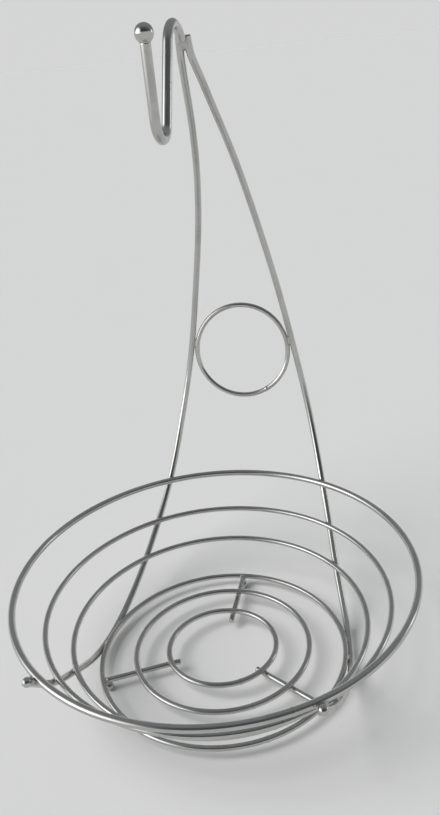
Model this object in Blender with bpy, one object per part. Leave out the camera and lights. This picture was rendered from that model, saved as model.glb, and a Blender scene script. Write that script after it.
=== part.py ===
"""Fruit basket with a banana hanger, bent and welded from chrome wire.

Six rings on three spokes make the bowl. Two long uprights rise from ball ends at the front of
the rim, pass under the bowl, climb its back and lean forward over it. A scroll ring is held
between them, and a thick hook with a ball end hangs from their tops. The bowl stands on three
ball feet. Metres, +Z up, hanger at the back (+Y), floor at z = 0.
"""
import math
from collections import namedtuple

import bmesh
import bpy
import numpy as np
from mathutils import Vector

MM = 0.001

# Wire gauges
RIM_WIRE = 5.0 * MM
RING_WIRE = 4.0 * MM
SPOKE_WIRE = 4.0 * MM
UPRIGHT_WIRE = 5.0 * MM
SCROLL_WIRE = 4.0 * MM
HOOK_WIRE = 6.0 * MM

# Room left between two wires at a weld
SEAT = 0.3 * MM

# Bowl rings, radius at the middle of the wire, and rise above the two rings on the spokes
RIM_RADIUS = 142.5 * MM
RIM_RISE = 67.8 * MM
UPPER_RADIUS = 124.3 * MM
UPPER_RISE = 42.6 * MM
LOWER_RADIUS = 107.7 * MM
LOWER_RISE = 23.1 * MM
BASE_RADIUS = 91.2 * MM
MIDDLE_RADIUS = 64.8 * MM
INNER_RADIUS = 40.2 * MM

# Spokes, directions in degrees from +X, and the distance of their inner ends from the axis
SPOKE_ANGLES = {"back": 90.0, "left": 206.0, "right": 329.0}
SPOKE_INNER_END = 32.8 * MM

# Ball feet, the small flat they stand on, and how far in from the spoke's outer end they sit
FOOT_BALL = 7.0 * MM
FOOT_FLAT = 0.2 * MM
FOOT_INSET = 1.5 * MM

# Uprights, degrees round the bowl from the back at which each one crosses a ring
FRONT_CROSSING_ANGLES = {"rim": 142.0, "upper": 133.5, "lower": 122.0}
BACK_CROSSING_ANGLES = {"lower": 45.8, "upper": 35.3, "rim": 27.1}
# and where it hugs the base ring, with the degrees below level on which it lies there
BASE_HUG_ANGLES = ((93.0, 25.0), (88.0, 41.0), (73.0, 18.0))
# and how much farther forward the right one crosses the rim, and farther back the left one
FRONT_SKEW_ANGLE = 1.0
FRONT_OVERHANG = 4.2 * MM
END_BALL = 6.5 * MM

# Hanger above the rim, heights from the floor and distances behind the bowl's axis
HANGER_HEIGHT = 429.4 * MM
HANGER_TOP_BACK = 78.7 * MM
HANGER_BULGE = 171.9 * MM
# Points of an upright between the rim and its top, as shares of the height above the rim, of
# the way back from the top to the bulge, and of the way out from the top to the rim crossing
HANGER_SHARES = (
    (0.133, 0.843, 0.846),
    (0.296, 0.992, 0.660),
    (0.460, 0.978, 0.490),
    (0.624, 0.860, 0.316),
    (0.787, 0.575, 0.161),
    (0.869, 0.340, 0.089),
    (0.945, 0.096, 0.028),
    (0.975, 0.018, 0.006),
)

# Scroll ring between the uprights, height of its middle above the floor and lean to the back
SCROLL_HEIGHT = 184.4 * MM
SCROLL_LEAN_ANGLE = 8.0

# Hook, bend radii at the middle of the wire, how its rear arm slopes from upright, and how far
# the middle of its wire rises above the uprights' tops
HOOK_ARCH_RADIUS = 19.3 * MM
HOOK_BEND_RADIUS = 12.0 * MM
HOOK_SLOPE_ANGLE = 28.0
HOOK_REAR_ANGLE = 28.0
HOOK_RISE = 6.5 * MM
HOOK_DROP = 60.1 * MM
HOOK_TIP_RISE = 54.6 * MM
HOOK_BALL = 10.6 * MM

# Fineness of the mesh
WIRE_SIDES = 12
HOOK_SIDES = 12
TRACE_STEP = 1.0 * MM
LONGEST_STEP = 10.0 * MM
STEP_ANGLE = 5.5
ARC_STEP_ANGLE = 8.0

# Places that follow from what rests on what
SPOKE_HEIGHT = FOOT_BALL - FOOT_FLAT + SEAT + SPOKE_WIRE / 2
RING_HEIGHT = SPOKE_HEIGHT + (SPOKE_WIRE + RING_WIRE) / 2 + SEAT
SPOKE_OUTER_END = BASE_RADIUS - RING_WIRE / 2 - SEAT
TOP_SPREAD = (UPRIGHT_WIRE + SEAT) / 2
HOOK_APEX_HEIGHT = HANGER_HEIGHT + HOOK_RISE

# Side of each upright, along +X
SIDES = {"right": 1.0, "left": -1.0}

Ring = namedtuple("Ring", "name radius height wire segments")
RINGS = {
    "rim": Ring("rim_ring", RIM_RADIUS, RING_HEIGHT + RIM_RISE, RIM_WIRE, 72),
    "upper": Ring("upper_side_ring", UPPER_RADIUS, RING_HEIGHT + UPPER_RISE, RING_WIRE, 64),
    "lower": Ring("lower_side_ring", LOWER_RADIUS, RING_HEIGHT + LOWER_RISE, RING_WIRE, 60),
    "base": Ring("base_outer_ring", BASE_RADIUS, SPOKE_HEIGHT, RING_WIRE, 52),
    "middle": Ring("base_middle_ring", MIDDLE_RADIUS, RING_HEIGHT, RING_WIRE, 40),
    "inner": Ring("base_inner_ring", INNER_RADIUS, RING_HEIGHT, RING_WIRE, 32),
}

# Colour, metallic and roughness of the plating
PLATING = {
    "chrome_wire": ((0.60, 0.60, 0.58), 1.0, 0.24),
    "chrome_ball": ((0.66, 0.66, 0.65), 1.0, 0.12),
}


def clear_scene():
    for old in list(bpy.data.objects):
        bpy.data.objects.remove(old, do_unlink=True)


def plating(name):
    """Principled material of one finish, made once and shared."""
    found = bpy.data.materials.get(name)
    if found:
        return found
    colour, metallic, roughness = PLATING[name]
    material = bpy.data.materials.new(name)
    material.use_nodes = True
    shader = material.node_tree.nodes["Principled BSDF"]
    shader.inputs["Base Color"].default_value = (*colour, 1.0)
    shader.inputs["Metallic"].default_value = metallic
    shader.inputs["Roughness"].default_value = roughness
    return material


class Spline:
    """Natural cubic curve through points, measured along their chords."""

    def __init__(self, points):
        self.points = np.array(points, dtype=float)
        steps = np.linalg.norm(np.diff(self.points, axis=0), axis=1)
        self.knots = np.concatenate(([0.0], np.cumsum(steps)))
        count = len(self.points)
        system = np.eye(count)
        right = np.zeros_like(self.points)
        for i in range(1, count - 1):
            before, after = steps[i - 1], steps[i]
            system[i, i - 1:i + 2] = before, 2 * (before + after), after
            slope_after = (self.points[i + 1] - self.points[i]) / after
            slope_before = (self.points[i] - self.points[i - 1]) / before
            right[i] = 6 * (slope_after - slope_before)
        self.bends = np.linalg.solve(system, right)

    def _cell(self, along):
        i = int(np.searchsorted(self.knots, along, side="right")) - 1
        i = min(max(i, 0), len(self.knots) - 2)
        width = self.knots[i + 1] - self.knots[i]
        share = (along - self.knots[i]) / width
        return i, width, share

    def at(self, along):
        i, width, u = self._cell(along)
        v = 1 - u
        straight = v * self.points[i] + u * self.points[i + 1]
        bow = (v**3 - v) * self.bends[i] + (u**3 - u) * self.bends[i + 1]
        return straight + bow * width**2 / 6

    def heading(self, along):
        i, width, u = self._cell(along)
        v = 1 - u
        chord = (self.points[i + 1] - self.points[i]) / width
        turn = (1 - 3 * v**2) * self.bends[i] + (3 * u**2 - 1) * self.bends[i + 1]
        slope = chord + turn * width / 6
        return slope / np.linalg.norm(slope)


def outward(azimuth):
    """Level direction away from the bowl's axis, in degrees from the back towards +X."""
    turn = math.radians(azimuth)
    return np.array((math.sin(turn), math.cos(turn), 0.0))


def seat_point(ring, azimuth, drop):
    """Middle of an upright that lies against the outside of a ring, drop degrees below level."""
    reach = (ring.wire + UPRIGHT_WIRE) / 2 + SEAT
    low = math.radians(drop)
    point = outward(azimuth) * (ring.radius + reach * math.cos(low))
    point[2] = ring.height - reach * math.sin(low)
    return point


def square_drop(azimuth, heading):
    """Degrees below level at which a wire with this heading lies square on a ring."""
    return math.degrees(math.atan(heading @ outward(azimuth) / heading[2]))


def hanger_points(rim_seat):
    """Points of an upright above the rim, up to its top end."""
    top = np.array((TOP_SPREAD, HANGER_TOP_BACK, HANGER_HEIGHT))
    points = []
    for height_share, back_share, spread_share in HANGER_SHARES:
        points.append((
            top[0] + spread_share * (rim_seat[0] - top[0]),
            top[1] + back_share * (HANGER_BULGE - top[1]),
            rim_seat[2] + height_share * (top[2] - rim_seat[2]),
        ))
    return points + [top]


def upright_curve(skew):
    """Middle line of an upright that stands on the right, from its front rim crossing to its
    top, the rim crossing moved forward by the skew.

    Each crossing lies square on its ring. How far below level that is depends on the heading
    of the wire there, so the seats and the curve are worked out in turns until they agree.
    """
    front = {**FRONT_CROSSING_ANGLES, "rim": FRONT_CROSSING_ANGLES["rim"] + skew}
    crossings = [(RINGS[key], azimuth) for key, azimuth in front.items()]
    hugs_from = len(crossings)
    crossings += [(RINGS["base"], azimuth) for azimuth, _ in BASE_HUG_ANGLES]
    hugs_to = len(crossings)
    crossings += [(RINGS[key], azimuth) for key, azimuth in BACK_CROSSING_ANGLES.items()]
    start_drop = 45.0
    drops = [start_drop] * hugs_from + [drop for _, drop in BASE_HUG_ANGLES]
    drops += [start_drop] * (len(crossings) - hugs_to)
    for _ in range(12):
        seats = [seat_point(ring, azimuth, drop)
                 for (ring, azimuth), drop in zip(crossings, drops)]
        curve = Spline(seats + hanger_points(seats[-1]))
        for i, (_, azimuth) in enumerate(crossings):
            if not hugs_from <= i < hugs_to:
                drops[i] = square_drop(azimuth, curve.heading(curve.knots[i]))
    return curve


def traced(curve):
    """Close points along a curve."""
    count = int(curve.knots[-1] / TRACE_STEP)
    return [curve.at(curve.knots[-1] * i / count) for i in range(count + 1)]


def thinned(points):
    """Fewer points, kept where the line has turned or run far enough."""
    kept = [points[0]]
    heading = points[1] - points[0]
    for i in range(1, len(points) - 1):
        ahead = points[i + 1] - points[i]
        turn = Vector(ahead).angle(Vector(heading))
        if math.degrees(turn) > STEP_ANGLE or np.linalg.norm(points[i] - kept[-1]) > LONGEST_STEP:
            kept.append(points[i])
            heading = ahead
    return kept + [points[-1]]


def nearest(points, others):
    """Shortest distance between two rows of points."""
    a = np.array(points)
    b = np.array(others)
    return np.sqrt(((a[:, None, :] - b[None, :, :]) ** 2).sum(axis=2)).min()


def arc(middle, radius, start, end):
    """Points of a bend in the hanger's middle plane, turned from +Y towards +Z."""
    count = max(2, round(abs(end - start) / math.radians(ARC_STEP_ANGLE)))
    turns = [start + (end - start) * i / count for i in range(count + 1)]
    return [np.array((0.0, middle[0] + radius * math.cos(turn), middle[1] + radius * math.sin(turn)))
            for turn in turns]


def hook_line(arch_back):
    """Middle line of the hook from its rear end to its tip, arch_back behind the bowl's axis."""
    arch_middle = (arch_back, HOOK_APEX_HEIGHT - HOOK_ARCH_RADIUS)
    slope = math.radians(HOOK_SLOPE_ANGLE)
    arch = arc(arch_middle, HOOK_ARCH_RADIUS, math.radians(HOOK_REAR_ANGLE), math.pi - slope)
    bend_height = HOOK_APEX_HEIGHT - HOOK_DROP + HOOK_BEND_RADIUS
    arm_foot_height = bend_height - HOOK_BEND_RADIUS * math.sin(slope)
    arm_foot_back = arch[-1][1] - (arch[-1][2] - arm_foot_height) * math.tan(slope)
    bend_middle = (arm_foot_back - HOOK_BEND_RADIUS * math.cos(slope), bend_height)
    bend = arc(bend_middle, HOOK_BEND_RADIUS, -slope, -math.pi)
    tip = bend[-1].copy()
    tip[2] = HOOK_APEX_HEIGHT - HOOK_DROP + HOOK_TIP_RISE - ball_flat(HOOK_BALL, HOOK_WIRE) - SEAT
    return arch + bend + [tip]


def fine_line(points):
    """A line of straight runs and bends with close points, for measuring."""
    fine = []
    for start, end in zip(points, points[1:]):
        count = max(1, math.ceil(np.linalg.norm(end - start) / TRACE_STEP))
        fine += [start + (end - start) * i / count for i in range(count)]
    return fine + [points[-1]]


def seated(shape, farthest, wire, upright):
    """A shape drawn by one size, with that size grown until its wire rests on an upright."""
    touch = (wire + UPRIGHT_WIRE) / 2 + SEAT
    clear_of, into = 0.0, farthest
    for _ in range(30):
        halfway = (clear_of + into) / 2
        if nearest(fine_line(shape(halfway)), upright) > touch:
            clear_of = halfway
        else:
            into = halfway
    return clear_of


def ball_flat(diameter, wire):
    """Distance from a ball's middle to the flat that seats on a wire's end."""
    return math.sqrt((diameter / 2) ** 2 - (wire / 2) ** 2)


def finish(thing, material, collection, origin):
    for place in list(thing.users_collection):
        place.objects.unlink(thing)
    collection.objects.link(thing)
    thing.data.materials.clear()
    thing.data.materials.append(plating(material))
    thing.parent = origin
    if thing.type == "MESH":
        thing.data.shade_smooth()
        thing.data.set_sharp_from_angle(angle=math.radians(40.0))
    return thing


def wire_object(name, points, gauge, sides):
    """Round wire along a line, with its ends cut square."""
    data = bpy.data.curves.new(name, "CURVE")
    data.dimensions = "3D"
    data.bevel_depth = gauge / 2
    data.bevel_resolution = sides // 2 - 2
    data.use_fill_caps = True
    spline = data.splines.new("POLY")
    spline.points.add(len(points) - 1)
    for point, place in zip(spline.points, points):
        point.co = (*place, 1.0)
    spline.use_smooth = True
    return bpy.data.objects.new(name, data)


def ring_object(ring):
    bpy.ops.mesh.primitive_torus_add(
        location=(0.0, 0.0, ring.height), major_segments=ring.segments,
        minor_segments=WIRE_SIDES, major_radius=ring.radius, minor_radius=ring.wire / 2)
    thing = bpy.context.object
    thing.name = thing.data.name = ring.name
    return thing


def ball_object(name, diameter, flat, centre, towards, segments):
    """Ball with a flat at a distance from its middle, on the side it is turned towards."""
    mesh = bpy.data.meshes.new(name)
    body = bmesh.new()
    bmesh.ops.create_uvsphere(body, u_segments=segments, v_segments=segments * 2 // 3,
                              radius=diameter / 2)
    everything = body.verts[:] + body.edges[:] + body.faces[:]
    cut = bmesh.ops.bisect_plane(body, geom=everything, plane_co=(0.0, 0.0, -flat),
                                 plane_no=(0.0, 0.0, -1.0), clear_outer=True)
    rim = [edge for edge in cut["geom_cut"] if isinstance(edge, bmesh.types.BMEdge)]
    bmesh.ops.edgenet_fill(body, edges=rim)
    bmesh.ops.recalc_face_normals(body, faces=body.faces[:])
    body.to_mesh(mesh)
    body.free()
    thing = bpy.data.objects.new(name, mesh)
    thing.location = centre
    thing.rotation_euler = Vector(towards).to_track_quat("-Z", "Y").to_euler()
    return thing


def add_bowl(place):
    """The six rings, the spokes under the inner two, and the ball feet."""
    for ring in RINGS.values():
        place(ring_object(ring), "chrome_wire")
    level = np.array((0.0, 0.0, SPOKE_HEIGHT))
    for side, direction in SPOKE_ANGLES.items():
        turn = math.radians(direction)
        along = np.array((math.cos(turn), math.sin(turn), 0.0))
        ends = [along * SPOKE_INNER_END + level, along * SPOKE_OUTER_END + level]
        place(wire_object(f"{side}_spoke", ends, SPOKE_WIRE, WIRE_SIDES), "chrome_wire")
        foot = along * (SPOKE_OUTER_END - FOOT_INSET)
        foot[2] = FOOT_BALL / 2 - FOOT_FLAT
        place(ball_object(f"{side}_foot_ball", FOOT_BALL, FOOT_BALL / 2 - FOOT_FLAT, foot,
                          (0.0, 0.0, -1.0), 12), "chrome_ball")


def add_uprights(place, curves):
    """The two uprights with the balls on their front ends."""
    flat = ball_flat(END_BALL, UPRIGHT_WIRE)
    for side, curve in curves.items():
        out_of_end = -curve.heading(0.0)
        end_ball = curve.at(0.0) + out_of_end * FRONT_OVERHANG
        line = [end_ball - out_of_end * (flat + SEAT)] + thinned(traced(curve))
        to_side = np.array((SIDES[side], 1.0, 1.0))
        place(wire_object(f"{side}_upright", [point * to_side for point in line], UPRIGHT_WIRE,
                          WIRE_SIDES), "chrome_wire")
        place(ball_object(f"{side}_upright_end_ball", END_BALL, flat, end_ball * to_side,
                          -out_of_end * to_side, 12), "chrome_ball")


def add_scroll_ring(place, upright):
    """Ring that fills the space between the uprights, level with them from front to back."""
    rows = np.array(upright)
    above_rim = rows[rows[:, 2] > RINGS["rim"].height]
    back = float(np.interp(SCROLL_HEIGHT, above_rim[:, 2], above_rim[:, 1]))
    middle = np.array((0.0, back, SCROLL_HEIGHT))
    lean = math.radians(SCROLL_LEAN_ANGLE)
    across = np.array((1.0, 0.0, 0.0))
    upwards = np.array((0.0, math.sin(lean), math.cos(lean)))

    def ring_line(radius):
        turns = [2 * math.pi * i / 60 for i in range(61)]
        return [middle + radius * (across * math.cos(turn) + upwards * math.sin(turn))
                for turn in turns]

    radius = seated(ring_line, nearest([middle], upright), SCROLL_WIRE, upright)
    bpy.ops.mesh.primitive_torus_add(
        location=middle, rotation=(math.pi / 2 - lean, 0.0, 0.0), major_segments=40,
        minor_segments=WIRE_SIDES, major_radius=radius, minor_radius=SCROLL_WIRE / 2)
    thing = bpy.context.object
    thing.name = thing.data.name = "scroll_ring"
    place(thing, "chrome_wire")


def add_hook(place, upright):
    """The banana hook, its rear end in the valley in front of the uprights' tops, and its ball."""
    line = hook_line(seated(hook_line, HANGER_TOP_BACK, HOOK_WIRE, upright))
    place(wire_object("banana_hook", line, HOOK_WIRE, HOOK_SIDES), "chrome_wire")
    flat = ball_flat(HOOK_BALL, HOOK_WIRE)
    centre = line[-1] + np.array((0.0, 0.0, flat + SEAT))
    place(ball_object("hook_ball", HOOK_BALL, flat, centre, (0.0, 0.0, -1.0), 18), "chrome_ball")


def reach_points(thing):
    """Points of a piece that reach as far as it does."""
    if thing.type == "MESH":
        return [thing.matrix_world @ vertex.co for vertex in thing.data.vertices]
    return [thing.matrix_world @ Vector(corner) for corner in thing.bound_box]


def footprint_middle(pieces):
    """Middle of the whole basket's box, seen from above."""
    bpy.context.view_layer.update()
    points = [point for thing in pieces for point in reach_points(thing)]
    lows = [min(point[i] for point in points) for i in range(2)]
    highs = [max(point[i] for point in points) for i in range(2)]
    return [(low + high) / 2 for low, high in zip(lows, highs)]


def main():
    clear_scene()
    collection = bpy.data.collections.new("fruit_basket")
    bpy.context.scene.collection.children.link(collection)
    origin = bpy.data.objects.new("basket_origin", None)
    collection.objects.link(origin)

    def place(thing, material):
        return finish(thing, material, collection, origin)

    curves = {side: upright_curve(to_side * FRONT_SKEW_ANGLE) for side, to_side in SIDES.items()}
    upright = traced(curves["right"])
    add_bowl(place)
    add_uprights(place, curves)
    add_scroll_ring(place, upright)
    add_hook(place, upright)
    across, deep = footprint_middle(origin.children)
    origin.location = (-across, -deep, 0.0)


main()
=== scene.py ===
"""Looks of a chrome wire fruit basket with a banana hanger.

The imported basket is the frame. Each plain wire and ball is made again over it as round drawn wire
or a turned ball, the welds that join them are added, and the plating gets its film, drawing marks
and heat tint. Metres, +Z up, hanger at the back (+Y). Laid out as an add-on and run as a script.
"""
from collections import namedtuple
from functools import partial
from math import asin, atan, copysign, cos, degrees, pi, radians, sin, sqrt, tan

import bpy
import numpy as np
from bpy.props import FloatProperty, FloatVectorProperty, IntProperty, PointerProperty
from mathutils import Matrix, Vector
from numpy.linalg import norm


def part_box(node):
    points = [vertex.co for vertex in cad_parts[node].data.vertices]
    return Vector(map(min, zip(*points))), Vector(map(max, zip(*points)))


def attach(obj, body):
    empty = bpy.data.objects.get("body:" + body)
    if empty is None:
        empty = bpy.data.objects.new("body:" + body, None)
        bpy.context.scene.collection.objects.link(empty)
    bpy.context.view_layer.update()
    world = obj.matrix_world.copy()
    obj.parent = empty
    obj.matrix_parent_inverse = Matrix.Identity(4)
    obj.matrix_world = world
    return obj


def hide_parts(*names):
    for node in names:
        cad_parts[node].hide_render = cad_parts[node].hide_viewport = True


bl_info = {
    "name": "Wire Fruit Basket",
    "version": (1, 0, 0),
    "blender": (4, 5, 0),
    "location": "3D View > Sidebar > Basket",
    "description": "Chrome wire fruit basket with a banana hanger, of round wire and balls",
    "category": "Add Mesh",
}

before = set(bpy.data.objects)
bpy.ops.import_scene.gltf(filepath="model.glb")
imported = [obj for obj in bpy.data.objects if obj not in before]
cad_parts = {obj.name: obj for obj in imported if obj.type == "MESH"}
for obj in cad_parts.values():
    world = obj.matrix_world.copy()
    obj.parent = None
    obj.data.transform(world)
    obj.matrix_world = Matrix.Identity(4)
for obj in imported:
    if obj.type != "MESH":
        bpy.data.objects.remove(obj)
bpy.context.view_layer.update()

MM = 0.001
RIGHT, BACK, UP = np.eye(3)

# Room that the plain wires leave at a weld, and the gauges of the bent wires
SEAT = 0.3 * MM
UPRIGHT_WIRE = 5.0 * MM
SPOKE_WIRE = 4.0 * MM

# Uprights, degrees round the bowl from the back at which each crosses a ring, and hugs the base
# ring with the degrees below level
FRONT_CROSSING_ANGLES = {"rim": 142.0, "upper": 133.5, "lower": 122.0}
BACK_CROSSING_ANGLES = {"lower": 45.8, "upper": 35.3, "rim": 27.1}
BASE_HUG_ANGLES = ((93.0, 25.0), (88.0, 41.0), (73.0, 18.0))
# How much farther forward the right one crosses the rim, and back the left one
FRONT_SKEW_ANGLE = 1.0
# From the rim crossing to the middle of the ball on the front end
FRONT_OVERHANG = 4.2 * MM
# Rounds in which seats and curve come to agree, and the first guess
SEAT_ROUNDS = 12
FIRST_DROP_ANGLE = 45.0

# Hanger, height from the floor and distances behind the bowl's axis
HANGER_HEIGHT = 429.4 * MM
HANGER_TOP_BACK = 78.7 * MM
HANGER_BULGE = 171.9 * MM
# Points of an upright between rim and top, as shares of the height above the rim, of the way
# back from the top to the bulge, and of the way out from the top to the rim crossing
HANGER_SHARES = (
    (0.133, 0.843, 0.846),
    (0.296, 0.992, 0.660),
    (0.460, 0.978, 0.490),
    (0.624, 0.860, 0.316),
    (0.787, 0.575, 0.161),
    (0.869, 0.340, 0.089),
    (0.945, 0.096, 0.028),
    (0.975, 0.018, 0.006),
)

# Ring between the uprights, its lean to the back
SCROLL_LEAN_ANGLE = 8.0

# Hook, bend radii at the middle of the wire, slope of its rear arm and turn of its rear end
HOOK_ARCH_RADIUS = 19.3 * MM
HOOK_BEND_RADIUS = 12.0 * MM
HOOK_SLOPE_ANGLE = 28.0
HOOK_REAR_ANGLE = 28.0

# Balls on the ends of wires, faces round and along a ball, and its first turn at the pole
END_BALL = 6.5 * MM
HOOK_BALL = 10.6 * MM
BALL_SIDES = 40
HOOK_BALL_SIDES = 56
BALL_ROWS = 26
BALL_POLE = radians(3.0)

# Welds, how near two surfaces come before the weld between them begins, and how far it runs out
NECK_FILLET = 1.1 * MM
SPOKE_FILLET = 2.4 * MM
CROSSING_FILLET = 2.8 * MM
END_FILLET = 3.6 * MM
HOOK_FILLET = 3.8 * MM
WELD_REACH_SHARE = 1.9
# Between the two places where an upright hugs the base ring, as a share of its radius
HUG_SPLIT_SHARE = 0.125
# Middle of the hook's weld, as a share of the way into the valley between the uprights, and depth
# of the weld between their tops
VALLEY_SHARE = 0.69
TOP_WELD_DEPTH = 2.0 * MM
# Fineness of the lines by which welds are found, and how far heat spreads from one
CIRCLE_STEPS = 1440
LINE_STEP = 0.5 * MM
LINE_THINNING = 3
HEAT_SPREAD = 3.2 * MM
# Rays round a bead and along it, how they crowd towards its middle, steps on them, share of the
# height taken in each step, and length of a bead's waves as a share of its fillet
BEAD_SIDES, BEAD_ROWS = 72, 39
BEAD_CROWDING = 1.5
BEAD_ROUNDS = 26
BEAD_STRIDE_SHARE = 0.9
BEAD_WAVE_SHARE = 2.4

# Direction from +X in which each ring was closed by a butt weld, sections on each side of it and
# in its width, and fewest sections of a ring
CLOSURE_ANGLE = -60.0
CLOSURE_SECTIONS = 7
CLOSURE_FINENESS = 3
LEAST_SECTIONS = 96

# Flaws of the plating, where in a noise each sets in, and the roughness and height it adds
FILM_RANGE = (0.42, 0.68)
PATCH_RANGE = (0.56, 0.70)
PIT_RANGE = (0.72, 0.76)
SOOT_RANGE = (0.45, 0.70)
SCRATCH_RANGE = (0.0, 0.012)
WIRE_ROUGHNESS = {"film": 0.09, "marks": 0.06, "heat": 0.20, "pits": 0.3}
WIRE_RELIEF = {"marks": 0.04, "pits": -0.3}
BALL_ROUGHNESS = {"film": 0.05, "scratches": 0.10, "heat": 0.15}
BALL_RELIEF = {"scratches": -0.4, "pits": -1.0}
WELD_ROUGHNESS, RIPPLE_ROUGHNESS = 0.22, 0.20
# Scale of patches of pits against film and of waves along a wire against round it, film and heat
# on a ball, and soot on a weld
PATCH_SCALE_SHARE = 2.2
WAVE_STRETCH_SHARE = 0.6
BALL_FILM_SHARE, BALL_HEAT_SHARE = 0.6, 0.7
SOOT_SHARE, LEAST_SOOT = 0.6, 0.2

# Camera of the photograph, its place from the bowl's axis on the floor, its heading, pitch and
# roll in degrees, and its lens
CAMERA_PLACE = (128.5 * MM, -447.6 * MM, 419.7 * MM)
CAMERA_TURNS = ((13.9, "Z"), (90.0 - 24.38, "X"), (-6.16, "Z"))
CAMERA_LENS = 34.81

# Studio, directions in degrees from +X towards +Y and up from level. Its light grows over this
# range towards what is ahead of the camera, and gives way over these heights to the horizon's
AHEAD_ANGLES = (100.0, 35.0)
AHEAD_RANGE = (-0.35, 0.75)
ROOM_RANGE = (0.10, 0.32)
# Openings, each by direction, half width, softness of the sides and height, softness of their tops
# as a share of the height, and sills
WINDOW = (206.0, 1.2, 1.2, 1.6)
DOORWAY = (30.0, 0.10, 0.02, 0.50)
TOP_SOFTNESS_SHARE = 0.6
SILL_RANGE = (0.0, 0.08)
# Light through the window
KEY_ANGLES = (211.0, 52.0)
KEY_WIDTH_ANGLE = 36.0

# Floor, and how unevenly it is darkened
FLOOR_ROUGHNESS = 0.8
TONE_SCALE = 3.0
TONE_SHARE, DARKER_SHARE = 0.5, 0.97

Ring = namedtuple("Ring", "node middle radius wire upwards")
Weld = namedtuple("Weld", "kind middle normal bodies fillet reach")
Body = namedtuple("Body", "line gauge")
SIDES = {"left": -1.0, "right": 1.0}
SPOKE_SIDES = ("back", "left", "right")


def box_middle(node):
    low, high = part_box(node)
    return np.array((low + high) / 2)


def level_ring(node):
    """A level ring, read off the box of its plain solid."""
    low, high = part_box(node)
    wire = high.z - low.z
    return Ring(node, box_middle(node), (high.x - low.x - wire) / 2, wire, BACK)


def leaning_ring(node, lean):
    """A ring that leans to the back by this angle. How much deeper its box is than its middle line
    tells its gauge."""
    low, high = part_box(node)
    across, deep = high.x - low.x, high.y - low.y
    wire = (deep - across * sin(lean)) / (1 - sin(lean))
    upwards = BACK * sin(lean) + UP * cos(lean)
    return Ring(node, box_middle(node), (across - wire) / 2, wire, upwards)


RINGS = {
    "rim": level_ring("rim_ring"),
    "upper": level_ring("upper_side_ring"),
    "lower": level_ring("lower_side_ring"),
    "base": level_ring("base_outer_ring"),
    "middle": level_ring("base_middle_ring"),
    "inner": level_ring("base_inner_ring"),
}
SCROLL_RING = leaning_ring("scroll_ring", radians(SCROLL_LEAN_ANGLE))
AXIS = BACK * RINGS["rim"].middle[1]
FINISHES = {}


def lengths_along(line):
    return np.concatenate(([0.0], np.cumsum(norm(np.diff(line, axis=0), axis=1))))


class Spline:
    """Natural cubic curve through points."""

    def __init__(self, points):
        self.points = np.array(points, dtype=float)
        self.knots = lengths_along(self.points)
        steps = np.diff(self.knots)
        count = len(self.points)
        system = np.eye(count)
        right = np.zeros_like(self.points)
        for i in range(1, count - 1):
            before, after = steps[i - 1], steps[i]
            system[i, i - 1:i + 2] = before, 2 * (before + after), after
            slope_after = (self.points[i + 1] - self.points[i]) / after
            slope_before = (self.points[i] - self.points[i - 1]) / before
            right[i] = 6 * (slope_after - slope_before)
        self.bends = np.linalg.solve(system, right)

    def at(self, along):
        """Place and heading at this length along the chords."""
        i = min(int(np.searchsorted(self.knots, along, side="right")), len(self.knots) - 1) - 1
        width = self.knots[i + 1] - self.knots[i]
        u = (along - self.knots[i]) / width
        v = 1 - u
        (start, end), (first, second) = self.points[i:i + 2], self.bends[i:i + 2] * width / 6
        place = v * start + u * end + ((v**3 - v) * first + (u**3 - u) * second) * width
        slope = (end - start) / width + (1 - 3 * v**2) * first + (3 * u**2 - 1) * second
        return place, unit(slope)


def unit(vector):
    return np.array(vector) / norm(vector)


def outward(azimuth):
    """Level direction away from the bowl's axis, in degrees from the back towards +X."""
    turn = radians(azimuth)
    return np.array((sin(turn), cos(turn), 0.0))


def full_turn(count):
    return 2 * pi * np.arange(count) / count


def round_about(first, second, turns):
    """Directions at these turns from the first direction towards the second, in radians."""
    return np.outer(np.cos(turns), first) + np.outer(np.sin(turns), second)


def seat_point(ring, azimuth, drop):
    """Middle of an upright that lies against the outside of a ring, drop degrees below level."""
    reach = (ring.wire + UPRIGHT_WIRE) / 2 + SEAT
    low = radians(drop)
    point = outward(azimuth) * (ring.radius + reach * cos(low))
    point[2] = ring.middle[2] - reach * sin(low)
    return point


def square_drop(azimuth, heading):
    """Degrees below level at which a wire with this heading lies square on a ring."""
    return degrees(atan(heading @ outward(azimuth) / heading[2]))


def hanger_points(rim_seat):
    """Points of an upright above the rim, up to its top end."""
    top = np.array(((UPRIGHT_WIRE + SEAT) / 2, HANGER_TOP_BACK, HANGER_HEIGHT))
    return [(top[0] + spread_share * (rim_seat[0] - top[0]),
             top[1] + back_share * (HANGER_BULGE - top[1]),
             rim_seat[2] + height_share * (top[2] - rim_seat[2]))
            for height_share, back_share, spread_share in HANGER_SHARES] + [top]


def upright_curve(skew):
    """Middle line of an upright on the right, from its front rim crossing to its top, the bowl's
    axis at the origin. The seats and the curve are worked out in turns until they agree."""
    front = {**FRONT_CROSSING_ANGLES, "rim": FRONT_CROSSING_ANGLES["rim"] + skew}
    crossings = [(RINGS[key], azimuth, None) for key, azimuth in front.items()]
    crossings += [(RINGS["base"], azimuth, drop) for azimuth, drop in BASE_HUG_ANGLES]
    crossings += [(RINGS[key], azimuth, None) for key, azimuth in BACK_CROSSING_ANGLES.items()]
    drops = [given or FIRST_DROP_ANGLE for _, _, given in crossings]
    for _ in range(SEAT_ROUNDS):
        seats = [seat_point(ring, azimuth, drop)
                 for (ring, azimuth, _), drop in zip(crossings, drops)]
        curve = Spline(seats + hanger_points(seats[-1]))
        drops = [given or square_drop(azimuth, curve.at(knot)[1])
                 for (_, azimuth, given), knot in zip(crossings, curve.knots)]
    return curve


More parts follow.
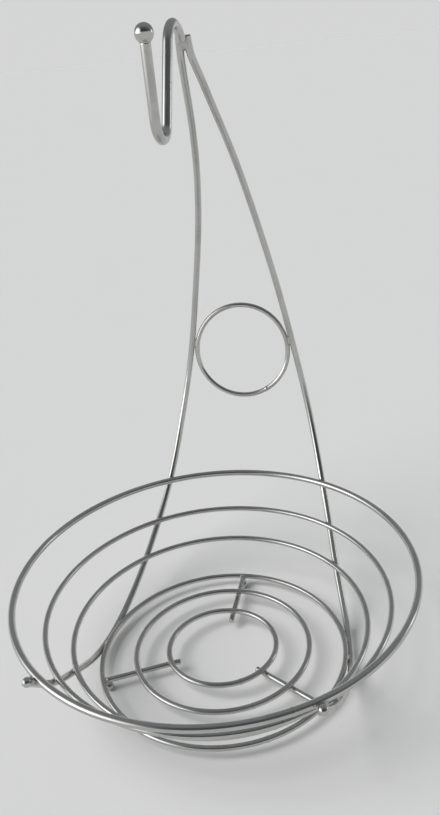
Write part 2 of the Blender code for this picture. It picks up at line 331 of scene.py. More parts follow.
def ball_flat(diameter, wire):
    """Distance from a ball's middle to the end of the wire in it."""
    return sqrt((diameter / 2) ** 2 - (wire / 2) ** 2)


def uprights(step):
    """Middle lines of both uprights, and the middles and directions of their end balls."""
    lines, balls = {}, {}
    for side, across in SIDES.items():
        curve = upright_curve(across * FRONT_SKEW_ANGLE)
        end, heading = curve.at(0.0)
        ball = end - heading * FRONT_OVERHANG
        count = int(curve.knots[-1] / step)
        line = [ball + heading * ball_flat(END_BALL, UPRIGHT_WIRE)]
        line += [curve.at(curve.knots[-1] * i / count)[0] for i in range(count + 1)]
        to_side = np.array((across, 1.0, 1.0))
        lines[side] = np.array(line) * to_side + AXIS
        balls[side] = (ball * to_side + AXIS, -heading * to_side)
    return lines, balls


def ring_turns(count):
    """Turns round a ring, in radians, that start and end at its closure."""
    return radians(CLOSURE_ANGLE) + 2 * pi * np.arange(count + 1) / count


def arc(middle, radius, start, end, step):
    """Points of a bend in the hanger's middle plane, turned from +Y towards +Z."""
    count = max(2, round(abs(end - start) * radius / step))
    turns = start + (end - start) * np.arange(count + 1) / count
    return list(BACK * middle[0] + UP * middle[1] + radius * round_about(BACK, UP, turns))


def straight_run(start, end, step):
    """Points between two ends, both left out."""
    count = max(2, round(norm(end - start) / step))
    return [start + (end - start) * i / count for i in range(1, count)]


def hook_line(step):
    """Middle line of the hook from its rear end to its tip at the ball, from its solid's box."""
    low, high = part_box("banana_hook")
    wire = high.x - low.x
    slope = radians(HOOK_SLOPE_ANGLE)
    arch_height = high.z - wire / 2 - HOOK_ARCH_RADIUS
    bend_middle = (low.y + wire / 2 + HOOK_BEND_RADIUS, low.z + wire / 2 + HOOK_BEND_RADIUS)
    bend = arc(bend_middle, HOOK_BEND_RADIUS, -slope, -pi, step)
    arch_foot_height = arch_height + HOOK_ARCH_RADIUS * sin(slope)
    arch_foot_back = bend[0][1] + (arch_foot_height - bend[0][2]) * tan(slope)
    arch_middle = (arch_foot_back + HOOK_ARCH_RADIUS * cos(slope), arch_height)
    arch = arc(arch_middle, HOOK_ARCH_RADIUS, radians(HOOK_REAR_ANGLE), pi - slope, step)
    tip = bend[-1].copy()
    tip[2] = box_middle("hook_ball")[2] - ball_flat(HOOK_BALL, wire)
    line = arch + straight_run(arch[-1], bend[0], step) + bend
    return np.array(line + straight_run(bend[-1], tip, step) + [tip]), wire


def spoke_line(side, step):
    """Middle line of a spoke from its inner end, and its direction away from the axis."""
    low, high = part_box(f"{side}_spoke")
    middle = box_middle(f"{side}_spoke")
    along = unit((middle - AXIS) * (1.0, 1.0, 0.0))
    longer = int(np.argmax(np.abs(along)))
    half_box = (high[longer] - low[longer]) / 2
    side_share = sqrt(1 - along[longer] ** 2)
    half = (half_box - SPOKE_WIRE / 2 * side_share) / abs(along[longer])
    inner, outer = middle - along * half, middle + along * half
    return np.array([inner] + straight_run(inner, outer, step) + [outer]), along


def foot_ball(side):
    """Middle and diameter of a foot ball, and the width of the flat that it stands on."""
    low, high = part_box(f"{side}_foot_ball")
    diameter = high.x - low.x
    middle = np.array(((low.x + high.x) / 2, (low.y + high.y) / 2, high.z - diameter / 2))
    rise = middle[2] - low.z
    return middle, diameter, sqrt(diameter**2 - 4 * rise**2)


def nearest(points, others):
    """Which points of two lines come closest to each other."""
    apart = ((points[:, None, :] - others[None, :, :]) ** 2).sum(axis=2)
    return np.unravel_index(int(apart.argmin()), apart.shape)


def ring_body(ring):
    line = ring.middle + ring.radius * round_about(RIGHT, ring.upwards, ring_turns(CIRCLE_STEPS))
    return Body(line, ring.wire)


def above_surface(places, body):
    """How far places are from the surface of a round wire, or of a ball if its line is a point."""
    starts = body.line[:-1]
    runs = body.line[1:] - starts
    ahead = places[:, None, :] - starts[None, :, :]
    shares = (ahead * runs).sum(axis=2) / np.maximum((runs**2).sum(axis=1), 1e-12)
    nearest_points = np.clip(shares, 0.0, 1.0)[:, :, None] * runs
    return norm(ahead - nearest_points, axis=2).min(axis=1) - body.gauge / 2


class Welds:
    """Every weld of the basket, worked out from the wires that meet there."""

    def __init__(self):
        self.all = []
        self.circles = {key: ring_body(ring) for key, ring in RINGS.items()}
        lines, balls = uprights(LINE_STEP)
        for side, line in lines.items():
            self.bowl(line)
            self.scroll(line)
            self.tip(balls[side][0], END_BALL, line, UPRIGHT_WIRE)
        self.hanger(lines["left"], lines["right"])
        self.spokes()

    def add(self, kind, middle, normal, bodies, fillet, reach=None):
        """Adds a weld and cuts the bodies that it joins to the part near it."""
        reach = reach or fillet * WELD_REACH_SHARE
        near = []
        for line, gauge in bodies:
            line = line[norm(line - middle, axis=1) < reach + gauge]
            near.append(Body(np.vstack((line[::LINE_THINNING], line[-1:])), gauge))
        self.all.append(Weld(kind, middle, normal, near, fillet, reach))

    def join(self, kind, first, second, fillet):
        """Adds a weld where two bodies come closest."""
        i, j = nearest(first.line, second.line)
        normal = unit(second.line[j] - first.line[i])
        middle = first.line[i] + normal * (first.gauge + SEAT) / 2
        self.add(kind, middle, normal, (first, second), fillet)

    def tip(self, ball, diameter, line, wire):
        """The neck where a ball sits on a wire's end."""
        normal = unit(line[0] - ball)
        self.add("tip", ball + normal * ball_flat(diameter, wire), normal,
                 (Body(ball[None, :], diameter), Body(line, wire)),
                 NECK_FILLET, wire / 2 + 2 * NECK_FILLET)

    def bowl(self, upright):
        """An upright on the three side rings, in front and behind, and on the base ring."""
        back, height = upright[:, 1] - AXIS[1], upright[:, 2]
        for key in ("rim", "upper", "lower"):
            ring = RINGS[key]
            low = height < ring.middle[2] + ring.radius
            for front in (True, False):
                near = Body(upright[low & ((back < 0) == front)], UPRIGHT_WIRE)
                fillet = END_FILLET if front and key == "rim" else CROSSING_FILLET
                self.join("bowl", self.circles[key], near, fillet)
        base = RINGS["base"]
        low = (height < base.middle[2] + base.wire) & (back > 0)
        first = back < base.radius * HUG_SPLIT_SHARE
        for part in (upright[low & first], upright[low & ~first]):
            self.join("bowl", self.circles["base"], Body(part, UPRIGHT_WIRE), CROSSING_FILLET)

    def scroll(self, upright):
        """The ring between the uprights, against one of them."""
        near = upright[abs(upright[:, 2] - SCROLL_RING.middle[2]) < SCROLL_RING.radius]
        self.join("scroll", ring_body(SCROLL_RING), Body(near, UPRIGHT_WIRE), SPOKE_FILLET)

    def hanger(self, left, right):
        """The hook's rear end in the valley in front of the uprights' tops, the uprights against
        each other, and the hook's ball."""
        line, wire = hook_line(LINE_STEP)
        i, j = nearest(line, left)
        into_valley = (left[j] + right[j]) / 2 - line[i]
        bodies = [Body(run[norm(run - end, axis=1) > gauge / 2], gauge)
                  for run, end, gauge in ((line, line[0], wire), (left, left[-1], UPRIGHT_WIRE),
                                          (right, right[-1], UPRIGHT_WIRE))]
        self.add("hanger", line[i] + into_valley * VALLEY_SHARE, unit(into_valley), bodies,
                 HOOK_FILLET)
        under_top = -1 - round(TOP_WELD_DEPTH / LINE_STEP)
        first, second = left[under_top], right[under_top]
        self.add("hanger", (first + second) / 2, unit(second - first), bodies[1:], SPOKE_FILLET)
        self.tip(box_middle("hook_ball"), HOOK_BALL, line[::-1], wire)

    def spokes(self):
        """The spokes under the two inner rings, into the base ring and over the foot balls."""
        for side in SPOKE_SIDES:
            line, along = spoke_line(side, LINE_STEP)
            spoke = Body(line, SPOKE_WIRE)
            for key in ("middle", "inner"):
                self.join("spoke", spoke, self.circles[key], SPOKE_FILLET)
            self.add("spoke", line[-1] + along * SEAT / 2, along, (spoke, self.circles["base"]),
                     SPOKE_FILLET)
            middle, diameter, _ = foot_ball(side)
            self.join("spoke", Body(middle[None, :], diameter), spoke, SPOKE_FILLET)


WELDS = Welds()


def weld_heat(places):
    """Heat left in the plating at each place, from 1 at a weld to 0 away from it."""
    middles = np.array([weld.middle for weld in WELDS.all])
    apart = norm(np.array(places)[:, None, :] - middles, axis=2).min(axis=1)
    return np.exp(-(apart / HEAT_SPREAD) ** 2)


def framed(line):
    """A heading and a normal at each point of an open line, carried along it without twist."""
    padded = np.vstack((line[:1], line, line[-1:]))
    headings = [unit(run) for run in padded[2:] - padded[:-2]]
    normals = [unit(RIGHT - headings[0] * (RIGHT @ headings[0]))]
    for heading in headings[1:]:
        normals.append(unit(normals[-1] - heading * (normals[-1] @ heading)))
    return headings, normals


def skin(rows, sides, closed=False):
    """Faces from each row of points to the next, and over both ends or from the last row to the
    first."""
    faces = []
    for row in range(rows if closed else rows - 1):
        here, there = row * sides, (row + 1) % rows * sides
        for k in range(sides):
            beside = (k + 1) % sides
            faces.append((here + k, here + beside, there + beside, there + k))
    if not closed:
        last = range((rows - 1) * sides, rows * sides)
        faces += [tuple(range(sides))[::-1], tuple(last)]
    return faces


def tube(line, headings, normals, radii, sides, closed):
    """Vertices, faces and straight-wire coordinates of a round wire. The line of a closed one ends
    where it began."""
    vertices, straight = [], []
    reached = lengths_along(line)
    sections = len(line) - 1 if closed else len(line)
    for i in range(sections):
        across = np.cross(headings[i], normals[i])
        vertices.append(line[i] + radii[i] * round_about(normals[i], across, full_turn(sides)))
        straight.append(UP * reached[i] + radii[i] * round_about(RIGHT, BACK, full_turn(sides)))
    return np.concatenate(vertices), skin(sections, sides, closed), np.concatenate(straight)


def rounded_ends(line, start, end):
    """A line with finer ends where they are rounded over by these lengths, and how far in the
    surface is at each of its points."""
    line = np.column_stack((line, np.zeros(len(line))))
    quarter = np.radians((0.0, 18.0, 36.0, 54.0, 72.0, 90.0))
    clear_share = 1.2
    for rounding in (end, start):
        if rounding:
            tip = line[-1]
            line = line[norm(line - tip, axis=1) >= rounding * clear_share]
            curve = tip + np.outer(rounding * (1 - np.sin(quarter)), unit(line[-1] - tip))
            curve[:, 3] = rounding * (1 - np.cos(quarter))
            line = np.vstack((line, curve))
        line = line[::-1]
    return line[:, :3], line[:, 3]


def linked(name, data):
    """Object in the scene that holds this mesh, lamp or camera."""
    thing = bpy.data.objects.new(name, data)
    bpy.context.scene.collection.objects.link(thing)
    return thing


def mesh_object(name, vertices, faces, straight=None):
    """Smooth mesh in the scene's own collection, with the heat of the welds near it."""
    mesh = bpy.data.meshes.new(name)
    mesh.from_pydata(np.array(vertices).tolist(), [], faces)
    mesh.validate()
    mesh.shade_smooth()
    heat = mesh.attributes.new("weld_heat", "FLOAT", "POINT")
    heat.data.foreach_set("value", weld_heat(vertices).astype(np.float32))
    if straight is not None:
        drawn = mesh.attributes.new("straight_wire", "FLOAT_VECTOR", "POINT")
        drawn.data.foreach_set("vector", np.array(straight, np.float32).ravel())
    return linked(name, mesh)


def fit(thing, finish, slot, *nodes):
    """Gives a piece its finish, fixes it to the basket and lets it stand for its plain solids."""
    thing.data.materials.append(FINISHES[finish])
    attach(thing, "root")
    if nodes:
        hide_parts(*nodes)


def drawn_wire(node, *shape):
    """Wire in place of a plain solid."""
    fit(mesh_object(f"{node}_wire", *tube(*shape)), "drawn_chrome", "chrome_wire", node)


def open_wire(node, line, gauge, settings, start=0.0, end=0.0):
    """Wire along an open line, its free ends rounded over by these lengths."""
    line, inset = rounded_ends(line, start, end)
    drawn_wire(node, line, *framed(line), gauge / 2 - inset, settings.wire_sides, False)


def ring_wire(ring, settings):
    """Wire bent to a circle and closed by a butt weld, dressed to a slight swelling."""
    width = settings.closure_width
    turns = ring_turns(max(LEAST_SECTIONS, round(2 * pi * ring.radius / settings.wire_step)))
    first, last = turns[0], turns[-1]
    fine = np.arange(1, CLOSURE_SECTIONS + 1) * width / CLOSURE_FINENESS / ring.radius
    coarse = [turn for turn in turns if first + fine[-1] < turn < last - fine[-1]]
    turns = np.concatenate(([first], first + fine, coarse, last - fine[::-1], [last]))
    spokes = round_about(RIGHT, ring.upwards, turns)
    line = ring.middle + ring.radius * spokes
    headings = np.cross(np.cross(RIGHT, ring.upwards), spokes)
    reached = lengths_along(line)
    from_closure = np.minimum(reached, reached[-1] - reached)
    swelling = settings.closure_swelling_share * np.exp(-(from_closure / width) ** 2)
    radii = ring.wire / 2 * (1 + swelling)
    drawn_wire(ring.node, line, headings, spokes, radii, settings.wire_sides, True)


def turned_ball(node, diameter, opening, middle, out, sides=BALL_SIDES):
    """Ball in place of a plain solid, turned from where a wire of this gauge goes in, or from a
    flat as wide, to its pole."""
    sideways = unit(np.cross(RIGHT, out))
    spokes = round_about(sideways, np.cross(out, sideways), full_turn(sides))
    turns = np.linspace(pi - asin(opening / diameter), BALL_POLE, BALL_ROWS + 1)
    vertices = [middle + (out * cos(turn) + spokes * sin(turn)) * diameter / 2
                for turn in turns]
    ball = mesh_object(f"{node}_turned", np.concatenate(vertices), skin(len(turns), sides))
    fit(ball, "ball_chrome", "chrome_ball", node)


def rays(normal):
    """Directions all round, row by row from one end of the normal to the other."""
    askew = (0.3, 0.5, 0.8)
    side = unit(np.cross(normal, askew))
    level = round_about(side, np.cross(normal, side), full_turn(BEAD_SIDES))
    ways = []
    for row in range(BEAD_ROWS):
        share = 2 * (row + 0.5) / BEAD_ROWS - 1
        rise = copysign(abs(share) ** BEAD_CROWDING, share) * pi / 2
        ways.append(level * cos(rise) + normal * sin(rise))
    return np.concatenate(ways)


def weld_bead(weld, settings, seed):
    """Points of a closed bead that runs smoothly from one body to the next, slightly uneven, and
    dips under the surface of each. They are found by steps outwards from its middle."""
    chance = np.random.default_rng(seed)
    waves = chance.normal(size=(4, 3)) * 2 * pi / (BEAD_WAVE_SHARE * weld.fillet)
    starts = chance.uniform(0, 2 * pi, size=4)
    ways = rays(weld.normal)
    reached = np.zeros(len(ways))
    for _ in range(BEAD_ROUNDS):
        places = weld.middle + ways * reached[:, None]
        uneven = 1 + settings.weld_uneven_share * np.sin(
            (places - weld.middle) @ waves.T + starts).sum(axis=1)
        fillet = weld.fillet * np.sqrt(np.maximum(1 - (reached / weld.reach) ** 2, 1e-6))
        height = above_surface(places, weld.bodies[0])
        for body in weld.bodies[1:]:
            other = above_surface(places, body)
            near = np.maximum(fillet - np.abs(height - other), 0.0)
            height = np.minimum(height, other) - near**2 / fillet / 4 * uneven
        stride = (height + settings.weld_sink) * BEAD_STRIDE_SHARE
        reached = np.clip(reached - stride, 0.0, weld.reach)
    return weld.middle + ways * reached[:, None]


def both_ways(operation):
    """Methods of a signal that is the first or the second term of a sum."""
    return (lambda self, other: self.sum(operation, self, other),
            lambda self, other: self.sum(operation, other, self))


class Signal:
    """An output socket that takes part in sums. Sums of numbers add Math nodes, and those of
    colours and vectors add Vector Math nodes."""

    def __init__(self, nodes, socket):
        self.nodes = nodes
        self.socket = socket

    def sum(self, operation, first, second):
        vectors = [x for x in (first, second)
                   if isinstance(x, tuple) or isinstance(x, Signal) and x.socket.type != "VALUE"]
        kind = "ShaderNodeVectorMath" if vectors else "ShaderNodeMath"
        return self.nodes.add(kind, {0: first, 1: second}, operation=operation)

    __add__, __radd__ = both_ways("ADD")
    __sub__, __rsub__ = both_ways("SUBTRACT")
    __mul__, __rmul__ = both_ways("MULTIPLY")

    def __abs__(self):
        return self.nodes.add("ShaderNodeMath", {0: self}, operation="ABSOLUTE")

    def between(self, low, high):
        """0 where this is under low, 1 where it is over high, and smooth in between."""
        return self.nodes.add("ShaderNodeMapRange",
                              {"Value": self, "From Min": low, "From Max": high},
                              interpolation_type="SMOOTHSTEP")

    def mixed(self, first, second):
        """First colour where this is 0 and second where it is 1."""
        return self.nodes.add("ShaderNodeMix",
                              {"Factor_Float": self, "A_Color": first, "B_Color": second},
                              "Result_Color", data_type="RGBA")


class Nodes:
    """Node tree of one material or world, built from its first shader."""

    def __init__(self, owner, shader):
        owner.use_nodes = True
        self.tree = owner.node_tree
        self.shader = self.tree.nodes[shader]

    @staticmethod
    def socket(sockets, key):
        """A socket by its number, identifier or name."""
        if isinstance(key, int):
            return sockets[key]
        return next((s for s in sockets if s.identifier == key), None) or sockets[key]

    def feed(self, socket, value):
        """Links a signal to a socket, or writes a plain value on it."""
        if isinstance(value, Signal):
            self.tree.links.new(value.socket, socket)
        elif socket.type == "VECTOR" and not isinstance(value, tuple):
            socket.default_value = (value,) * 3
        elif socket.type == "RGBA":
            socket.default_value = (*value[:3], 1.0)
        else:
            socket.default_value = value

    def add(self, kind, values=None, output=0, **settings):
        """A node of this type, with its settings made before its values and links."""
        node = self.tree.nodes.new(kind)
        for name, setting in settings.items():
            setattr(node, name, setting)
        for key, value in (values or {}).items():
            self.feed(self.socket(node.inputs, key), value)
        return Signal(self, self.socket(node.outputs, output))

    def finish(self, **values):
        """Feeds the first shader. Underscores stand for the spaces in a socket's name."""
        for key, value in values.items():
            self.feed(self.shader.inputs[key.replace("_", " ")], value)

    def noise(self, place, scale, detail=2.0, distortion=0.0):
        return self.add("ShaderNodeTexNoise", {"Vector": place, "Scale": scale, "Detail": detail,
                                               "Distortion": distortion}, "Fac")

    def attribute(self, name, output):
        return self.add("ShaderNodeAttribute", output=output, attribute_name=name)

    def dot(self, first, second):
        return self.add("ShaderNodeVectorMath", {0: first, 1: second}, "Value",
                        operation="DOT_PRODUCT")

    def own_place(self):
        """Place on the piece, in metres."""
        return self.add("ShaderNodeTexCoord", output="Object")

    def relief(self, height, depth):
        """Normal of a surface with this height, from 0 to 1, over this depth."""
        return self.add("ShaderNodeBump", {"Strength": 1.0, "Distance": depth, "Height": height},
                        "Normal")


def new_material(name):
    material = bpy.data.materials.new(name)
    FINISHES[name] = material
    return Nodes(material, "Principled BSDF")


def weighted(start, weights, **signals):
    """Start with each signal added by its weight."""
    for name, weight in weights.items():
        start = start + signals[name] * weight
    return start


def handled(nodes, place, settings):
    """Shares of the film that handling leaves, and of the pits in the plating."""
    scale = settings.film_scale
    film = nodes.noise(place, scale, detail=4.0, distortion=0.6).between(*FILM_RANGE)
    patches = nodes.noise(place, scale * PATCH_SCALE_SHARE).between(*PATCH_RANGE)
    pits = nodes.noise(place, settings.pit_scale, detail=1.0).between(*PIT_RANGE) * patches
    return film, pits


def tinted(film, pits, heat, settings):
    """Colour of the plating under film, heat tint and pits."""
    colour = (film * settings.film_share).mixed(settings.chrome, settings.film)
    colour = (heat * settings.heat_share).mixed(colour, settings.heat)
    return (pits * settings.pit_share).mixed(colour, settings.pits)


def drawn_chrome(settings):
    """Plated drawn wire, with fine marks along it from the drawing die."""
    nodes = new_material("drawn_chrome")
    straight = nodes.attribute("straight_wire", "Vector")
    heat = nodes.attribute("weld_heat", "Fac")
    film, pits = handled(nodes, nodes.own_place(), settings)
    marks = nodes.noise(straight * (1.0, 1.0, settings.mark_stretch_share), settings.mark_scale,
                        detail=3.0)
    waviness = nodes.noise(straight * (1.0, 1.0, WAVE_STRETCH_SHARE), settings.wave_scale,
                           detail=1.0)
    nodes.finish(
        Base_Color=tinted(film, pits, heat, settings),
        Metallic=1.0,
        Roughness=weighted(settings.wire_roughness, WIRE_ROUGHNESS,
                           film=film, marks=marks, heat=heat, pits=pits),
        Normal=nodes.relief(weighted(waviness, WIRE_RELIEF, marks=marks, pits=pits),
                            settings.wave_depth))


def ball_chrome(settings):
    """Plated turned balls, brighter than the wire, with hairline scratches."""
    nodes = new_material("ball_chrome")
    place = nodes.own_place()
    heat = nodes.attribute("weld_heat", "Fac")
    film, pits = handled(nodes, place, settings)
    thread = abs(nodes.noise(place, settings.scratch_scale, detail=1.0, distortion=1.5) - 0.5)
    scratches = 1.0 - thread.between(*SCRATCH_RANGE)
    nodes.finish(
        Base_Color=tinted(film * BALL_FILM_SHARE, pits, heat * BALL_HEAT_SHARE, settings),
        Metallic=1.0,
        Roughness=weighted(settings.ball_roughness, BALL_ROUGHNESS,
                           film=film, scratches=scratches, heat=heat),
        Normal=nodes.relief(weighted(1.0, BALL_RELIEF, scratches=scratches, pits=pits),
                            settings.scratch_depth))


def weld_chrome(settings):
    """Plating over the welds, which follows their ripples and took the heat."""
    nodes = new_material("weld_chrome")
    place = nodes.own_place()
    ripples = nodes.noise(place, settings.ripple_scale, detail=3.0, distortion=0.8)
    soot = nodes.noise(place, settings.ripple_scale / 2).between(*SOOT_RANGE)
    nodes.finish(
        Base_Color=(soot * SOOT_SHARE + LEAST_SOOT).mixed(settings.chrome, settings.heat),
        Metallic=1.0,
        Roughness=settings.wire_roughness + WELD_ROUGHNESS + ripples * RIPPLE_ROUGHNESS,
        Normal=nodes.relief(ripples, settings.ripple_depth))


def plain_floor(settings):
    """Matte pale floor with a barely uneven tone."""
    nodes = new_material("pale_floor")
    tone = nodes.noise(nodes.own_place(), TONE_SCALE, detail=3.0)
    pale = settings.floor_colour
    nodes.finish(
        Base_Color=(tone * TONE_SHARE).mixed(pale, pale * DARKER_SHARE),
        Roughness=FLOOR_ROUGHNESS,
        Specular_IOR_Level=0.0)


Length = partial(FloatProperty, unit="LENGTH", precision=6)
Share = partial(FloatProperty, subtype="FACTOR")
Colour = partial(FloatVectorProperty, subtype="COLOR")


class BasketShape(bpy.types.PropertyGroup):
    """Fineness of the wires and size of the welds."""

    wire_sides: IntProperty(
        name="Wire sides", description="Faces round a wire", default=32, min=12)
    wire_step: Length(
        name="Wire step", description="Length of a face along a wire", default=2.2 * MM)
    end_rounding: Length(
        name="End rounding", description="Rounding of a free wire end", default=0.9 * MM)
    hook_rounding: Length(
        name="Hook rounding", description="Rounding of the hook's rear end", default=2.2 * MM)
    closure_width: Length(
        name="Closure width", description="Half width of the swelling where a ring was closed",
        default=0.9 * MM)
    closure_swelling_share: Share(
        name="Closure swelling", description="Swelling at a ring's closure, by its gauge",
        default=0.11)
    weld_sink: Length(
        name="Weld sink", description="How far a weld dips under the surface of a wire",
        default=0.07 * MM)
    weld_uneven_share: Share(
        name="Weld unevenness", description="Unevenness of a weld, as a share of its depth",
        default=0.10)


class BasketFinish(bpy.types.PropertyGroup):
    """Colours and grain of the plating."""

    chrome: Colour(
        name="Chrome", description="Colour of the clean plating", default=(0.52, 0.52, 0.51))
    film: Colour(
        name="Film", description="Colour of plating dulled by handling",
        default=(0.38, 0.375, 0.35))
    heat: Colour(
        name="Heat tint", description="Colour of plating near a weld", default=(0.40, 0.385, 0.36))
    pits: Colour(
        name="Pits", description="Colour of small pits in the plating", default=(0.12, 0.10, 0.08))
    film_share: Share(name="Film share", description="Strength of the film", default=0.45)
    heat_share: Share(name="Heat share", description="Strength of the heat tint", default=0.7)
    pit_share: Share(name="Pit share", description="Strength of the pits", default=0.6)
    wire_roughness: Share(
        name="Wire roughness", description="Roughness of clean wire", default=0.13)
    ball_roughness: Share(
        name="Ball roughness", description="Roughness of clean balls", default=0.05)
    film_scale: FloatProperty(
        name="Film scale", description="Patches of film in a metre", default=45.0)
    pit_scale: FloatProperty(
        name="Pit scale", description="Possible pits in a metre", default=1100.0)
    mark_scale: FloatProperty(
        name="Mark scale", description="Drawing marks in a metre across the wire", default=2600.0)
    mark_stretch_share: Share(
        name="Mark stretch", description="Width of a drawing mark against its length",
        default=0.025)
    wave_scale: FloatProperty(
        name="Wave scale", description="Slight waves in a metre of wire", default=55.0)
    wave_depth: Length(
        name="Wave depth", description="Depth of the slight waves in the wire", default=0.06 * MM)
    scratch_scale: FloatProperty(
        name="Scratch scale", description="Hairline scratches in a metre", default=420.0)
    scratch_depth: Length(
        name="Scratch depth", description="Depth of the hairline scratches", default=0.004 * MM)
    ripple_scale: FloatProperty(
        name="Ripple scale", description="Ripples in a metre of weld", default=1200.0)
    ripple_depth: Length(
        name="Ripple depth", description="Depth of the ripples on a weld", default=0.12 * MM)


class BasketStage(bpy.types.PropertyGroup):
    """Floor, light and background."""

    floor_colour: Colour(
        name="Floor", description="Colour of the floor", default=(0.78, 0.78, 0.77))
    floor_size: Length(
        name="Floor size", description="Length of a side of the floor", default=400.0)
    horizon: Colour(
        name="Horizon", description="Light of the studio near the horizon",
        default=(0.660, 0.667, 0.663))
    ceiling: Colour(
        name="Ceiling", description="Light of the studio overhead and behind",
        default=(0.28, 0.29, 0.30))
    near_end: Colour(
        name="Near end", description="Light of the studio behind the camera",
        default=(0.07, 0.075, 0.08))
    window_light: FloatProperty(
        name="Window", description="Brightness of the tall window on the left", default=3.4)
    doorway_light: FloatProperty(
        name="Doorway", description="Brightness of the narrow opening on the right", default=2.5)
    key_strength: FloatProperty(
        name="Key light", description="Strength of the light through the window", default=1.75)


class BASKET_OT_finishes(bpy.types.Operator):
    """Make the materials of the wires, balls, welds and floor"""

    bl_idname = "basket.finishes"
    bl_label = "Finishes"

    def execute(self, context):
        scene = context.scene
        for make in (drawn_chrome, ball_chrome, weld_chrome):
            make(scene.basket_finish)
        plain_floor(scene.basket_stage)
        return {"FINISHED"}


class BASKET_OT_bowl_rings(bpy.types.Operator):
    """Make the six rings of the bowl from round wire, each closed by a butt weld"""

    bl_idname = "basket.bowl_rings"
    bl_label = "Bowl rings"

    def execute(self, context):
        for ring in RINGS.values():
            ring_wire(ring, context.scene.basket_shape)
        return {"FINISHED"}


class BASKET_OT_spokes(bpy.types.Operator):
    """Make the three spokes, their inner ends rounded over"""

    bl_idname = "basket.spokes"
    bl_label = "Spokes"

    def execute(self, context):
        shape = context.scene.basket_shape
        for side in SPOKE_SIDES:
            line, _ = spoke_line(side, shape.wire_step)
            open_wire(f"{side}_spoke", line, SPOKE_WIRE, shape, start=shape.end_rounding)
        return {"FINISHED"}


class BASKET_OT_foot_balls(bpy.types.Operator):
    """Make the three ball feet, each with the small flat it stands on"""

    bl_idname = "basket.foot_balls"
    bl_label = "Foot balls"

    def execute(self, context):
        for side in SPOKE_SIDES:
            middle, diameter, flat = foot_ball(side)
            turned_ball(f"{side}_foot_ball", diameter, flat, middle, UP)
        return {"FINISHED"}


class BASKET_OT_uprights(bpy.types.Operator):
    """Make the two uprights along their bent lines, their top ends rounded over"""

    bl_idname = "basket.uprights"
    bl_label = "Uprights"

    def execute(self, context):
        shape = context.scene.basket_shape
        for side, line in uprights(shape.wire_step)[0].items():
            open_wire(f"{side}_upright", line, UPRIGHT_WIRE, shape, end=shape.end_rounding)
        return {"FINISHED"}


class BASKET_OT_upright_end_balls(bpy.types.Operator):
    """Make the balls on the uprights' front ends"""

    bl_idname = "basket.upright_end_balls"
    bl_label = "Upright end balls"

    def execute(self, context):
        for side, (middle, out) in uprights(LINE_STEP)[1].items():
            turned_ball(f"{side}_upright_end_ball", END_BALL, UPRIGHT_WIRE, middle, out)
        return {"FINISHED"}


class BASKET_OT_scroll_ring(bpy.types.Operator):
    """Make the ring that is held between the uprights"""

    bl_idname = "basket.scroll_ring"
    bl_label = "Scroll ring"

    def execute(self, context):
        ring_wire(SCROLL_RING, context.scene.basket_shape)
        return {"FINISHED"}


class BASKET_OT_banana_hook(bpy.types.Operator):
    """Make the thick hook, bent from one wire"""

    bl_idname = "basket.banana_hook"
    bl_label = "Banana hook"

    def execute(self, context):
        shape = context.scene.basket_shape
        line, gauge = hook_line(MM)
        open_wire("banana_hook", line, gauge, shape, start=shape.hook_rounding)
        return {"FINISHED"}


class BASKET_OT_hook_ball(bpy.types.Operator):
    """Make the large ball on the hook's tip"""

    bl_idname = "basket.hook_ball"
    bl_label = "Hook ball"

    def execute(self, context):
        line, gauge = hook_line(MM)
        middle = line[-1] + UP * ball_flat(HOOK_BALL, gauge)
        turned_ball("hook_ball", HOOK_BALL, gauge, middle, UP, HOOK_BALL_SIDES)
        return {"FINISHED"}


class BASKET_OT_welds(bpy.types.Operator):
    """Make the welds, in one piece for each group of wires that they join"""

    bl_idname = "basket.welds"
    bl_label = "Welds"

    def execute(self, context):
        groups = {}
        for seed, weld in enumerate(WELDS.all):
            vertices, faces = groups.setdefault(weld.kind, ([], []))
            start = len(vertices)
            faces += [tuple(start + k for k in face) for face in skin(BEAD_ROWS, BEAD_SIDES)]
            vertices.extend(weld_bead(weld, context.scene.basket_shape, seed))
        for kind, (vertices, faces) in groups.items():
            fit(mesh_object(f"{kind}_welds", vertices, faces), "weld_chrome", "chrome_wire")
        return {"FINISHED"}


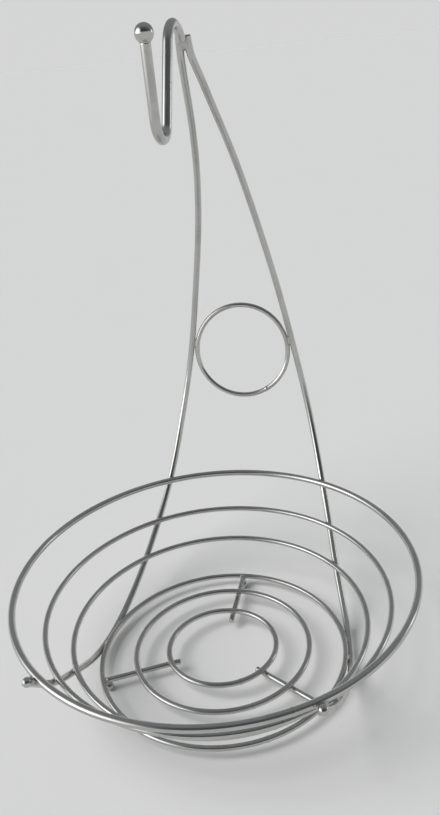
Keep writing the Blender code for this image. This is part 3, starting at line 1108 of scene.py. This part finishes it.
class BASKET_OT_stage(bpy.types.Operator):
    """Set the floor, the light, the background and the camera"""

    bl_idname = "basket.stage"
    bl_label = "Stage"

    def execute(self, context):
        settings = context.scene.basket_stage
        self.floor(settings)
        self.background(context, settings)
        self.key(settings)
        self.camera(context)
        return {"FINISHED"}

    @staticmethod
    def floor(settings):
        half = settings.floor_size / 2
        corners = [(-half, -half, 0.0), (half, -half, 0.0), (half, half, 0.0), (-half, half, 0.0)]
        mesh = bpy.data.meshes.new("floor")
        mesh.from_pydata(corners, [], [(0, 1, 2, 3)])
        mesh.materials.append(FINISHES["pale_floor"])
        linked("floor", mesh)

    @staticmethod
    def background(context, settings):
        """Studio as pale as the floor at the horizon and darker overhead, with a tall window on
        the left and a narrow opening on the right."""
        world = bpy.data.worlds.new("studio")
        context.scene.world = world
        nodes = Nodes(world, "Background")
        way = nodes.add("ShaderNodeTexCoord", output="Generated")
        up = nodes.add("ShaderNodeSeparateXYZ", {"Vector": way}, "Z")
        far_side = nodes.dot(way, direction(*AHEAD_ANGLES)).between(*AHEAD_RANGE)
        room = far_side.mixed(settings.near_end, settings.ceiling)
        sky = up.between(*ROOM_RANGE).mixed(settings.horizon, room)
        for opening, light in ((WINDOW, settings.window_light), (DOORWAY, settings.doorway_light)):
            azimuth, half_width, edge, top = opening
            ahead = nodes.dot(way, direction(azimuth, 0.0))
            aside = abs(nodes.dot(way, direction(azimuth + 90.0, 0.0)))
            within = ((ahead * half_width - aside).between(0.0, edge)
                      * (ahead * top - up).between(0.0, top * TOP_SOFTNESS_SHARE)
                      * up.between(*SILL_RANGE))
            sky = within.mixed(sky, (light, light, light))
        nodes.finish(Color=sky, Strength=1.0)

    @staticmethod
    def key(settings):
        """Soft light that falls through the window."""
        lamp = bpy.data.lights.new("key", "SUN")
        lamp.energy = settings.key_strength
        lamp.angle = radians(KEY_WIDTH_ANGLE)
        thing = linked("key", lamp)
        thing.visible_glossy = False
        thing.rotation_mode = "QUATERNION"
        thing.rotation_quaternion = Vector(direction(*KEY_ANGLES)).to_track_quat("Z", "Y")

    @staticmethod
    def camera(context):
        lens = bpy.data.cameras.new("camera")
        lens.lens = CAMERA_LENS
        thing = linked("camera", lens)
        thing.matrix_world = Matrix.Translation(AXIS + np.array(CAMERA_PLACE))
        for turn, axis in CAMERA_TURNS:
            thing.matrix_world @= Matrix.Rotation(radians(turn), 4, axis)
        context.scene.camera = thing
        context.scene.view_settings.view_transform = "Standard"


def direction(azimuth, elevation):
    """Direction from +X round towards +Y and up from level, in degrees."""
    turn, rise = radians(azimuth), radians(elevation)
    return (cos(turn) * cos(rise), sin(turn) * cos(rise), sin(rise))


OPERATORS = (
    BASKET_OT_finishes,
    BASKET_OT_bowl_rings,
    BASKET_OT_spokes,
    BASKET_OT_foot_balls,
    BASKET_OT_uprights,
    BASKET_OT_upright_end_balls,
    BASKET_OT_scroll_ring,
    BASKET_OT_banana_hook,
    BASKET_OT_hook_ball,
    BASKET_OT_welds,
    BASKET_OT_stage,
)


class BASKET_PT_panel(bpy.types.Panel):
    """Makes the basket's pieces one by one"""

    bl_label = "Wire fruit basket"
    bl_space_type = "VIEW_3D"
    bl_region_type = "UI"
    bl_category = "Basket"

    def draw(self, context):
        scene = context.scene
        for settings in (scene.basket_shape, scene.basket_finish, scene.basket_stage):
            box = self.layout.box()
            for name in settings.__annotations__:
                box.prop(settings, name)
        for operator in OPERATORS:
            self.layout.operator(operator.bl_idname)


GROUPS = {"basket_shape": BasketShape, "basket_finish": BasketFinish, "basket_stage": BasketStage}
CLASSES = (*GROUPS.values(), *OPERATORS, BASKET_PT_panel)


def register():
    for listed in CLASSES:
        bpy.utils.register_class(listed)
    for name, group in GROUPS.items():
        setattr(bpy.types.Scene, name, PointerProperty(type=group))


def unregister():
    for name in GROUPS:
        delattr(bpy.types.Scene, name)
    for listed in reversed(CLASSES):
        bpy.utils.unregister_class(listed)


def main():
    register()
    for operator in OPERATORS:
        group, name = operator.bl_idname.split(".")
        getattr(getattr(bpy.ops, group), name)()


if __name__ == "__main__":
    main()
